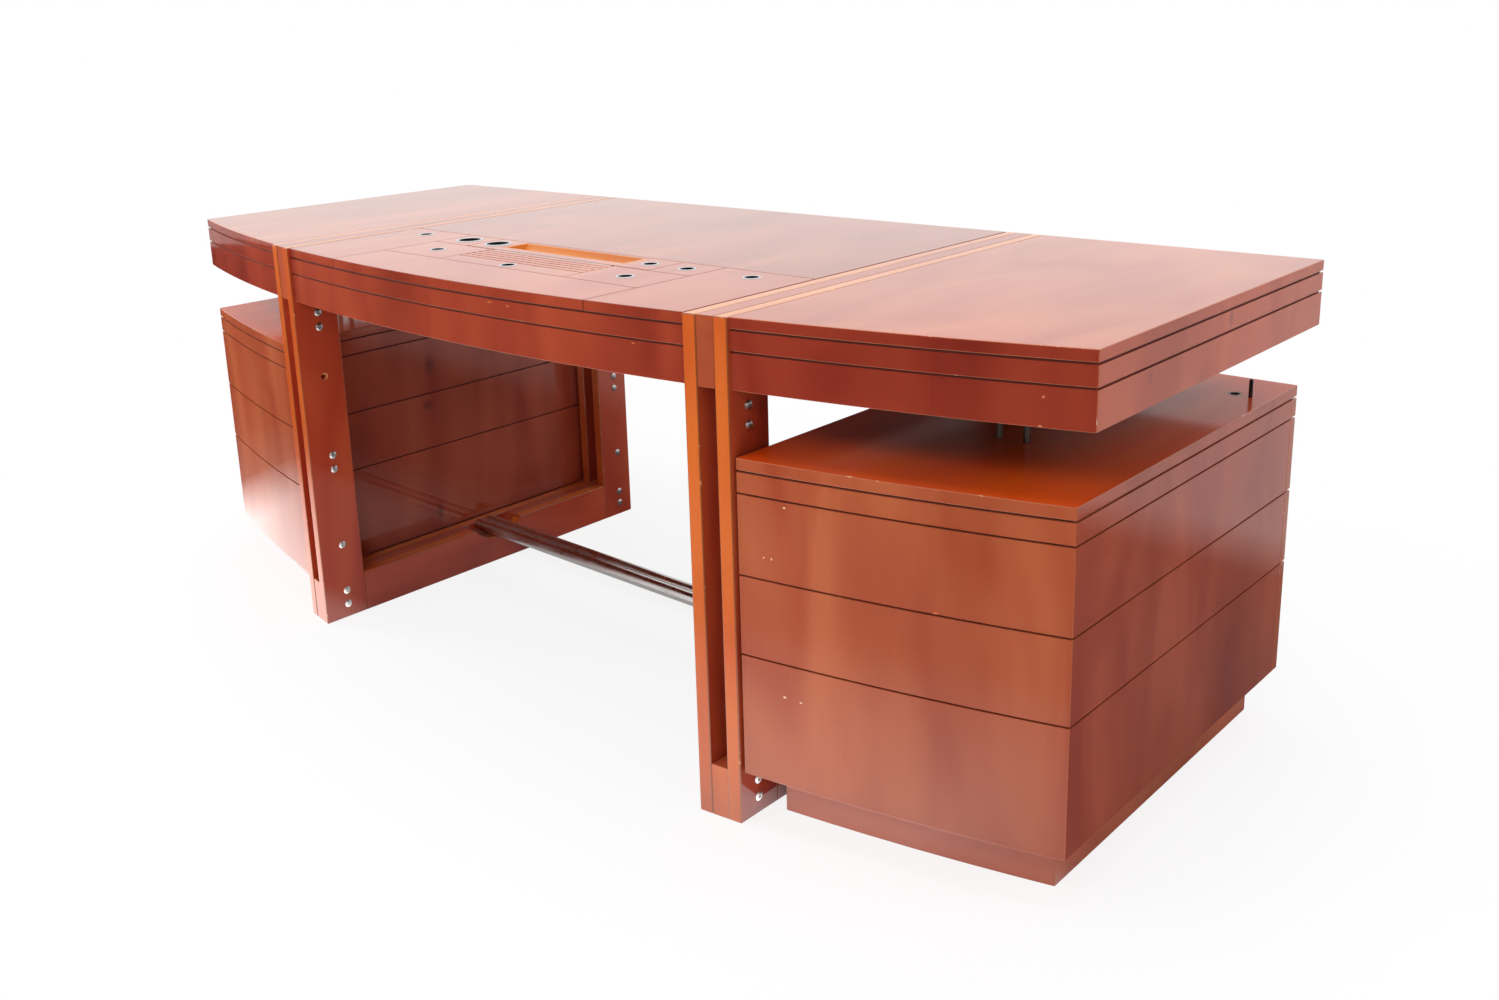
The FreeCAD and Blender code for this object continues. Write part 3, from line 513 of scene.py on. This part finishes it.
# Upright veneer: warm brown-red on the fronts, with pale chips and two orange knocks on the right one.
pedestal_cherry = veneer("cherry_pedestal", ALONG_Z, "#9A4128", "#B05C3A")
marked(pedestal_cherry, "#F0CDB4", [(on_bow(622, 420), (3, 6, 3)), (on_bow(634, 420), (3, 6, 4)),
                                    (on_bow(655, 497), (5, 6, 3)), (on_bow(650, 219), (6, 8, 4)),
                                    (on_bow(675, 217), (5, 8, 3))], CHIP_SOFT)
marked(pedestal_cherry, "#D8743C", [(on_bow(735, 387), (9, 8, 5)), (on_bow(865, 390), (8, 8, 4))], CHIP_SOFT)
# A cooler red on the sides, with three dark knots on the one beside the left frame.
pedestal_side_cherry = veneer("cherry_pedestal_side", ALONG_Z, "#903726", "#AC5036")
marked(pedestal_side_cherry, "#5C2418", [(Vector((-582, -57, 449)) * MM, (20, 34, 44)),
                                         (Vector((-582, -70, 362)) * MM, (20, 36, 30)),
                                         (Vector((-582, -61, 124)) * MM, (20, 22, 60))], KNOT_SOFT)
# Level veneer, paler and pinker, on the plinths.
plinth_cherry = veneer("cherry_plinth", ALONG_X, "#BA6248", "#CA7254")
# A thinner coat over orange stain, painted brighter than the stain to stand in for light under the wings:
# the top boards glow, and mirror the room less than the rest.
pedestal_top_cherry = veneer("cherry_pedestal_top", ALONG_Y, "#DC480E", "#EA5C16",
                             GLOSS | {"Coat_Weight": 0.45, "Coat_Roughness": 0.1})
UNDER, END = 4, 5
BOARD_EASE_MM = 1.0


def board_face(face):
    """The edges of a level board are veneered like the boards under it, and its underside is stained dark,
    partly as painted shade.
    """
    if face.normal.z < -LEVEL:
        return UNDER
    return EDGE if face.normal.z < LEVEL else FACE


def slab_face(face):
    """A level board whose ends have the veneer of the sides below them."""
    return END if abs(face.normal.x) > TURNED else board_face(face)


for side in ("left", "right"):
    carcase = [f"{side}_pedestal_sides", f"{side}_pedestal_bow_panel"]
    eased(carcase, [pedestal_cherry, rubbed_arris, groove_stain_and_shade, pedestal_side_cherry], VENEER_EASE_MM,
          groove_or_end(PEDESTAL_GROOVES))
    eased([f"{side}_pedestal_top"], [pedestal_top_cherry, rubbed_arris, groove_stain_and_shade, pedestal_cherry,
                                     under_stain_and_shade, pedestal_side_cherry], BOARD_EASE_MM, slab_face)
eased(["pedestal_plinths"], [plinth_cherry, rubbed_arris], VENEER_EASE_MM)
eased(["pedestal_fascias"], [pedestal_cherry, rubbed_arris], VENEER_EASE_MM)
eased(["pedestal_floors"], [pedestal_top_cherry, rubbed_arris], VENEER_EASE_MM)

# Drawers. Veneered fronts with a finger scoop in the top edge, and boxes of clear sealed birch that hang on
# birch runners screwed to the sides of the pedestals.

# Sealed birch: pale yellow, with a faint satin sheen.
birch = veneer("birch_sealed", ALONG_Y, "#C8A274", "#DDBE92", {"Roughness": 0.42, "Coat_Weight": 0.15})
RUNNER_EASE_MM = 0.6
for side in ("left", "right"):
    for level in ("upper", "middle", "lower"):
        eased([f"{side}_{level}_drawer_front"], [pedestal_cherry, rubbed_arris], BOARD_EASE_MM)
        eased([f"{side}_{level}_drawer_box"], [birch, birch], VENEER_EASE_MM)
eased(["drawer_runners"], [birch, birch], RUNNER_EASE_MM)

# Rods between the pedestals and the wings, a locating pin and its socket. The rods and the socket are browned
# steel, the pin is enamelled black, and all are turned and pressed into the boards.


def mottled(name, dark, light, grain_mm, detail=2.0, **sockets):
    """A plain dark finish whose colour wavers a little from grain to grain."""
    finish, tree, shader = start_finish(name, **sockets)
    place = add(tree, "TexCoord").outputs["Object"]
    grain = add(tree, "TexNoise", {"Vector": place, "Scale": 1 / (grain_mm * MM), "Detail": detail})
    tone = add(tree, "Mix", {0: grain.outputs["Fac"], COLOUR_A: linear(dark), COLOUR_B: linear(light)},
               data_type="RGBA")
    tree.links.new(tone.outputs[COLOUR_OUT], shader.inputs["Base Color"])
    return finish


# Stoved enamel: near black with one sharp highlight. Its specks are drawn coarser than real ones, to show.
black_enamel = mottled("black_enamel", "#0B0B0D", "#19191C", 3, Roughness=0.2, Coat_Weight=0.5,
                       Coat_Roughness=0.05)
# Browned steel: a dark warm grey with blurred reflections.
browned_steel = metal("browned_steel", "#6A625C", 0.3, 20)
END_ROUND, TIP_SHOULDER, PIN_TIP, SOCKET_BORE = 0.6 * MM, 0.3, 1.8 * MM, 7 * MM
ROD_STEPS, SOCKET_STEPS = 32, 40


def upright_rod(low, high, tip=END_ROUND):
    """A rod along Z with rounded ends."""
    radius, reach = (high.x - low.x) / 2, (high.z - low.z) / 2
    shoulder = TIP_SHOULDER * tip
    profile = [(0, -reach), (radius - END_ROUND, -reach), (radius, -reach + END_ROUND), (radius, reach - tip),
               (radius - shoulder, reach - shoulder), (radius - tip, reach), (0, reach)]
    piece = turned(profile, ROD_STEPS)
    bmesh.ops.translate(piece, verts=piece.verts, vec=(low + high) / 2)
    return piece


rods = joined([upright_rod(*span(shape)) for shape in solids("wing_posts")])
place_piece("wing_posts_browned", rods, [browned_steel], "wing_posts")
pin, socket = solids("pedestal_pin")
socket_low, socket_high = span(socket)
socket_outer, socket_reach = (socket_high.x - socket_low.x) / 2, (socket_high.z - socket_low.z) / 2
bush = turned([(SOCKET_BORE, -socket_reach), (socket_outer, -socket_reach),
               (socket_outer, socket_reach - END_ROUND), (socket_outer - END_ROUND, socket_reach),
               (SOCKET_BORE + END_ROUND, socket_reach), (SOCKET_BORE, socket_reach - END_ROUND),
               (SOCKET_BORE, -socket_reach)], SOCKET_STEPS)
bmesh.ops.translate(bush, verts=bush.verts, vec=(socket_low + socket_high) / 2)
for face in bush.faces:
    face.material_index = 1
pin_and_socket = joined([upright_rod(*span(pin), PIN_TIP), bush])
place_piece("pedestal_pin_enamelled", pin_and_socket, [black_enamel, browned_steel], "pedestal_pin")

# Wings. Each slab is one veneered board whose front follows the bow. It lies on the aprons of its wing, and
# its edges and end have their veneer.

# Level veneer under full lacquer: a paler red that mirrors the room.
top_cherry = veneer("cherry_top", ALONG_Y, "#AA4C30", "#BE6640")
for side in ("left", "right"):
    eased([f"{side}_wing_top"], [top_cherry, rubbed_arris, groove_stain_and_shade, wing_cherry, under_stain_and_shade,
                                 wing_end_cherry], BOARD_EASE_MM, slab_face)

# Middle of the top. Veneered boards laid side by side with fine seams: writing panel, side panels, bow strip,
# tray panel and tiles, with a slatted lid on a hinge and two covers that lift out.

# Seams between boards show as thin brown-red lines, with little wear.
seam_arris = arris("seam_arris", "#8A3A20", "#A45632")
# The writing panel is browner, and its harder coat mirrors more.
writing_cherry = veneer("cherry_writing", ALONG_Y, "#98462C", "#AE5E3E", GLOSS | {"Coat_IOR": 1.6})
# The grooves of the lid are bare: pink-brown and matt between glossy slats.
slat_bare = veneer("cherry_slat_bare", ALONG_X, "#BC806A", "#CA947E", {"Roughness": 0.5})
SLAT_MARGIN, SLAT_TOP = 3 * MM, 0.3 * MM
for name in ("writing_panel", "bow_strip", "side_panels", "tray_panel", "port_tiles", "slatted_lid",
             "left_cover", "right_cover"):
    surface = writing_cherry if name == "writing_panel" else top_cherry
    finishes = [surface, seam_arris, slat_bare, apron_cherry, under_stain_and_shade]
    piece, = eased([name], finishes, VENEER_EASE_MM, board_face)
    if name == "slatted_lid":
        low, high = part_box(name)
        for face in piece.data.polygons:
            inner = low.y + SLAT_MARGIN < face.center.y < high.y - SLAT_MARGIN
            if inner and abs(face.normal.x) < TURNED and face.normal.z > -LEVEL:
                face.material_index = FACE if face.center.z > high.z - SLAT_TOP else GROOVE

# Gap shade felts. A strip of dark brown felt fills the gap between the boards of the middle and each leg
# frame, just under the surface, and darkens the gap as painted shade. It is pressed in from above.

# Wool felt: dark brown without any gloss, which keeps the gap dark as painted shade. Its fluff is drawn
# coarser than real wool, to show.
shade_felt = mottled("brown_shade_felt", "#3C1810", "#5A2A1C", 1.2, 3.0, Roughness=0.9)
SHADE_FELT_CLEAR, SHADE_FELT_DEPTH, SHADE_FELT_SINK, SHADE_FELT_FRONT = 0.1 * MM, 8 * MM, 3 * MM, 15 * MM
panel_high, rail_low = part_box("writing_panel")[1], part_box("right_top_rails")[0]
shade_felt_front = on_bow(rail_low.x / MM, 0).y + SHADE_FELT_FRONT
shade_felt_low = Vector((panel_high.x + SHADE_FELT_CLEAR, shade_felt_front, panel_high.z - SHADE_FELT_SINK - SHADE_FELT_DEPTH))
shade_felt_high = Vector((rail_low.x - SHADE_FELT_CLEAR, panel_high.y - SHADE_FELT_SINK, panel_high.z - SHADE_FELT_SINK))
shade_felt_middle, shade_felt_size = (shade_felt_low + shade_felt_high) / 2, shade_felt_high - shade_felt_low
shade_felts = bmesh.new()
for sign in (-1, 1):
    there = Matrix.Translation((sign * shade_felt_middle.x, shade_felt_middle.y, shade_felt_middle.z))
    bmesh.ops.create_cube(shade_felts, size=1.0, matrix=there @ Matrix.Diagonal((*shade_felt_size, 1)))
# The dark felt strips stand in for the shade in the gaps: painted shade.
place_piece("gap_shade_felts", shade_felts, [shade_felt], "writing_panel", stands_for=False)

# Pen tray. A trough of solid cherry with a round cove and two ends, let into the tray panel. It hangs by its
# flange, and is lacquered in the wood's own colour.

# Satin lacquer on unstained cherry: honey orange, with soft highlights along the cove.
tray_wood = veneer("cherry_tray_honey", ALONG_X, "#C46C2A", "#D6873C",
                   {"Roughness": 0.35, "Coat_Weight": 0.4})
eased(["pen_tray"], [tray_wood, tray_wood], VENEER_EASE_MM)

# Cable rings and ports. Turned bushes dropped into holes in the boards, where they hang by their flanges:
# chromed rings, and larger black ports with a chromed rim.

# Polished chrome plate: a sharp mirror, with thin bright and dark arcs on the lips.
chrome = metal("chrome_plate", "#D2D3D6", 0.07, 60)
# Moulded plastic: near black with a soft sheen. Its grain is drawn coarser than the real one, to show.
port_black = mottled("port_black_plastic", "#0C0D0F", "#16181B", 1.5, Roughness=0.3, IOR=1.5)
RING_BORE, RING_SLEEVE, RING_ROUND = 11 * MM, 13 * MM, 0.5 * MM
PORT_BORE, PORT_SLEEVE, PORT_ROUND = 20 * MM, 22 * MM, 0.8 * MM
SURFACE, RIM_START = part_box("writing_panel")[1].z, 0.05 * MM
BUSH_STEPS = 56
# Points of the lips: how far in, in roundings, and how far up the flange or down from its top.
OUTER_LIP = ((0.1, 0.5), (0.6, 0.85), (1.6, 1.0))
INNER_LIP = ((1.2, 0.0), (0.3, 0.3), (0.0, 1.0))


def bush_at(low, high, bore, sleeve, ease):
    """A flanged bush: a sleeve through the board and a flange with rounded lips on its surface."""
    flange = (high.x - low.x) / 2
    height = high.z - SURFACE
    profile = [(bore, low.z), (sleeve, low.z), (sleeve, SURFACE), (flange, SURFACE)]
    profile += [(flange - inset * ease, SURFACE + rise * height) for inset, rise in OUTER_LIP]
    profile += [(bore + inset * ease, high.z - drop * ease) for inset, drop in INNER_LIP]
    piece = turned(profile + [(bore, low.z)], BUSH_STEPS)
    middle = (low + high) / 2
    bmesh.ops.translate(piece, verts=piece.verts, vec=(middle.x, middle.y, 0))
    return piece


for name in ("cable_rings", "lid_ring", "left_cover_ring", "right_cover_ring"):
    rings = [bush_at(*span(shape), RING_BORE, RING_SLEEVE, RING_ROUND) for shape in solids(name)]
    place_piece(name + "_chromed", joined(rings), [chrome], name)
ports = joined([bush_at(*span(shape), PORT_BORE, PORT_SLEEVE, PORT_ROUND) for shape in solids("cable_ports")])
for face in ports.faces:
    face.material_index = 1 if face.calc_center_median().z > SURFACE + RIM_START else 0
place_piece("cable_ports_rimmed", ports, [port_black, chrome], "cable_ports")

# Piano hinge of the lid, in zinc-plated steel, and the wells under the hatches, in dark stained board. Both
# keep the shape of their solids.

# Stained board without lacquer: the wells look almost black through the ports.
dark_board = veneer("well_board_dark", ALONG_X, "#35140F", "#481D14", {"Roughness": 0.55})
for name, finish in (("hinge_fixed_leaf", zinc_plate), ("hinge_lid_leaf", zinc_plate),
                     ("hatch_wells", dark_board)):
    nodes[name].data.materials.clear()
    nodes[name].data.materials.append(finish)

# Studio. A sheet of white paper on the floor, white surroundings for the camera and for reflections, and soft
# boxes overhead, in front, at both ends and behind, with two low ones for the light that paper sends up.
# Reflections see painted light on the paper: a bright pool in front of the desk, a dimmer glow behind it
# and painted shade under it. Sizes here are in metres.

FLOOR_RADIUS, FLOOR_SIDES = 6.0, 96
SHADE, SHADE_START, SHADE_END = 0.85, 0.1, 1.0
# Painted reflection of the paper, seen by glossy rays only: a bright pool in front, a glow behind, painted
# shade under the desk, and dimmer further out.
POOL_CENTRE, POOL_REACH, POOL_EDGE, POOL_END = (-0.2, -0.75, 0), (1.38, 1.0, 1), 0.85, 1.1
POOL_BRIGHT, POOL_DARK = 1.4, 0.03
BACK_START, BACK_END, BACK_BRIGHT = 0.95, 1.2, 0.6
RISE_START, RISE_END = BOW_RADIUS - 0.12, BOW_RADIUS - 0.04
FALL_START, FALL_END = BOW_RADIUS + 0.05, BOW_RADIUS + 0.62
UNDER_DESK, BY_FRONT, FARTHER = 0.35, 1.8, 0.09


def seen_rays(tree):
    """Light Path, and a mask of the rays that show a surface itself: camera, glossy and transmission rays."""
    seen = add(tree, "LightPath")
    mask = add(tree, "Math", {0: seen.outputs["Is Camera Ray"], 1: seen.outputs["Is Glossy Ray"]},
               operation="MAXIMUM")
    mask = add(tree, "Math", {0: mask.outputs["Value"], 1: seen.outputs["Is Transmission Ray"]},
               operation="MAXIMUM")
    return seen, mask.outputs["Value"]


floor_shape = bmesh.new()
bmesh.ops.create_circle(floor_shape, cap_ends=True, segments=FLOOR_SIDES, radius=FLOOR_RADIUS)
floor_mesh = bpy.data.meshes.new("floor")
floor_shape.to_mesh(floor_mesh)
floor_shape.free()
floor = bpy.data.objects.new("floor", floor_mesh)
bpy.context.scene.collection.objects.link(floor)

# Matt white paper: it shows a faint shadow round the desk, and turns to plain white further out. In
# reflections only, it glows with a painted bright pool in front and painted shade under the desk.
paper = bpy.data.materials.new("white_paper")
paper.use_nodes = True
tree = paper.node_tree
tree.nodes.clear()
place = add(tree, "TexCoord").outputs["Object"]
mirrored = add(tree, "VectorMath", {0: place}, operation="ABSOLUTE")
beyond = add(tree, "VectorMath", {0: mirrored.outputs["Vector"], 1: cad_box[1]}, operation="SUBTRACT")
outside = add(tree, "VectorMath", {0: beyond.outputs["Vector"], 1: (0, 0, 0)}, operation="MAXIMUM")
away = add(tree, "VectorMath", {0: outside.outputs["Vector"]}, operation="LENGTH").outputs["Value"]
# Painted reflection: where the paper glows in reflections, and where it is painted darker.
from_pool = add(tree, "VectorMath", {0: place, 1: POOL_CENTRE}, operation="SUBTRACT")
in_pool = add(tree, "VectorMath", {0: from_pool.outputs["Vector"], 1: POOL_REACH}, operation="DIVIDE")
pool_share = add(tree, "VectorMath", {0: in_pool.outputs["Vector"]}, operation="LENGTH")
fade = add(tree, "MapRange", {"Value": pool_share.outputs["Value"], "From Min": POOL_EDGE,
                              "From Max": POOL_END, "To Min": POOL_BRIGHT, "To Max": POOL_DARK})
rearward = add(tree, "SeparateXYZ", {0: place}).outputs["Y"]
behind = add(tree, "MapRange", {"Value": rearward, "From Min": BACK_START, "From Max": BACK_END,
                                "To Max": BACK_BRIGHT})
from_bow = add(tree, "VectorMath", {0: place, 1: BOW_CENTRE}, operation="DISTANCE").outputs["Value"]
rise = add(tree, "MapRange", {"Value": from_bow, "From Min": RISE_START, "From Max": RISE_END,
                              "To Min": UNDER_DESK, "To Max": BY_FRONT})
fall = add(tree, "MapRange", {"Value": from_bow, "From Min": FALL_START, "From Max": FALL_END,
                              "To Min": 1.0, "To Max": FARTHER})
near = add(tree, "Math", {0: rise.outputs["Result"], 1: fall.outputs["Result"]}, operation="MULTIPLY")
front = add(tree, "Math", {0: fade.outputs["Result"], 1: near.outputs["Value"]}, operation="MULTIPLY")
painted_reflection = add(tree, "Math", {0: front.outputs["Value"], 1: behind.outputs["Result"]}, operation="MAXIMUM")
seen, mask = seen_rays(tree)
glow = add(tree, "Mix", {0: seen.outputs["Is Glossy Ray"], 2: 1.0, 3: painted_reflection.outputs["Value"]},
           data_type="FLOAT")
unshaded = add(tree, "MapRange", {"Value": away, "From Min": SHADE_START, "From Max": SHADE_END,
                                  "To Min": SHADE, "To Max": 1.0})
share = add(tree, "Math", {0: mask, 1: unshaded.outputs["Result"]}, operation="MULTIPLY")
matt = add(tree, "BsdfDiffuse", {"Color": linear("#F4F3F2")})
white = add(tree, "Emission", {"Color": linear("#FFFFFF"), "Strength": glow.outputs[0]})
mixed = add(tree, "MixShader", {0: share.outputs["Value"], 1: matt.outputs["BSDF"],
                                2: white.outputs["Emission"]})
add(tree, "OutputMaterial", {"Surface": mixed.outputs["Shader"]})
floor_mesh.materials.append(paper)

AMBIENT, LOW_WALL, WALL_FOOT = 0.16, 0.4, -0.05
world = bpy.data.worlds.new("studio")
bpy.context.scene.world = world
world.use_nodes = True
tree = world.node_tree
tree.nodes.clear()
seen, mask = seen_rays(tree)
upward = add(tree, "SeparateXYZ", {0: add(tree, "TexCoord").outputs["Generated"]}).outputs["Z"]
wall = add(tree, "MapRange", {"Value": upward, "From Min": WALL_FOOT, "From Max": 0.0, "To Min": LOW_WALL,
                              "To Max": 1.0})
shown = add(tree, "Mix", {0: seen.outputs["Is Camera Ray"], 2: wall.outputs["Result"], 3: 1.0},
            data_type="FLOAT")
strength = add(tree, "Mix", {0: mask, 2: AMBIENT, 3: shown.outputs[0]}, data_type="FLOAT")
white = add(tree, "Background", {"Color": linear("#FFFFFF"), "Strength": strength.outputs[0]})
add(tree, "OutputWorld", {"Surface": white.outputs["Background"]})

# Each soft box by its name, place, aim, width, height and watts.
SOFT_BOXES = (
    ("overhead", (0.2, 0.1, 3.4), (0, 0, 0.7), 3.0, 2.2, 76),
    ("key", (-0.6, -2.9, 2.7), (0, -0.2, 0.5), 2.6, 1.8, 44),
    ("right_key", (1.3, -2.6, 2.4), (0.8, -0.3, 0.5), 1.4, 0.7, 24),
    ("side", (3.0, 0.75, 1.9), (1.0, 0.2, 0.5), 1.8, 1.4, 27),
    ("rear", (0.4, 3.4, 3.0), (0, 0.3, 0.4), 2.6, 1.6, 34),
    ("front_reflector", (0.2, -0.72, 0.02), (0.2, -0.72, 1), 2.0, 0.45, 2.2),
    ("left_fill", (-2.6, -1.2, 0.7), (-0.85, -0.3, 0.4), 1.0, 1.0, 49),
    ("rear_reflector", (0, 1.1, 0.02), (0, 1.1, 1), 2.6, 0.9, 4),
)
for name, place, aim, width, height, power in SOFT_BOXES:
    box = bpy.data.lights.new(name, "AREA")
    box.shape = "RECTANGLE"
    box.size, box.size_y, box.energy = width, height, power
    lamp = bpy.data.objects.new(name, box)
    lamp.location = place
    lamp.rotation_euler = (Vector(aim) - Vector(place)).to_track_quat("-Z", "Y").to_euler()
    lamp.visible_camera = False
    lamp.visible_glossy = False
    bpy.context.scene.collection.objects.link(lamp)

# Camera, where the photograph was taken from: a little above the top, in front of the right-hand corner. Its
# place, turn, tilt and lens were solved from the straight and square edges of the desk.

FOCAL_MM, SHIFT_X, SHIFT_Y = 32.59, 0.0273, -0.0881
STAND, TURN, TILT, ROLL = (1.7587, -1.6699, 1.1235), radians(43.5), radians(75.8), radians(-1.96)
lens = bpy.data.cameras.new("camera")
lens.lens, lens.shift_x, lens.shift_y = FOCAL_MM, SHIFT_X, SHIFT_Y
camera = bpy.data.objects.new("camera", lens)
camera.matrix_world = (Matrix.Translation(STAND) @ Matrix.Rotation(TURN, 4, "Z")
                       @ Matrix.Rotation(TILT, 4, "X") @ Matrix.Rotation(ROLL, 4, "Z"))
bpy.context.scene.collection.objects.link(camera)
bpy.context.scene.camera = camera
bpy.context.scene.view_settings.view_transform = "Standard"
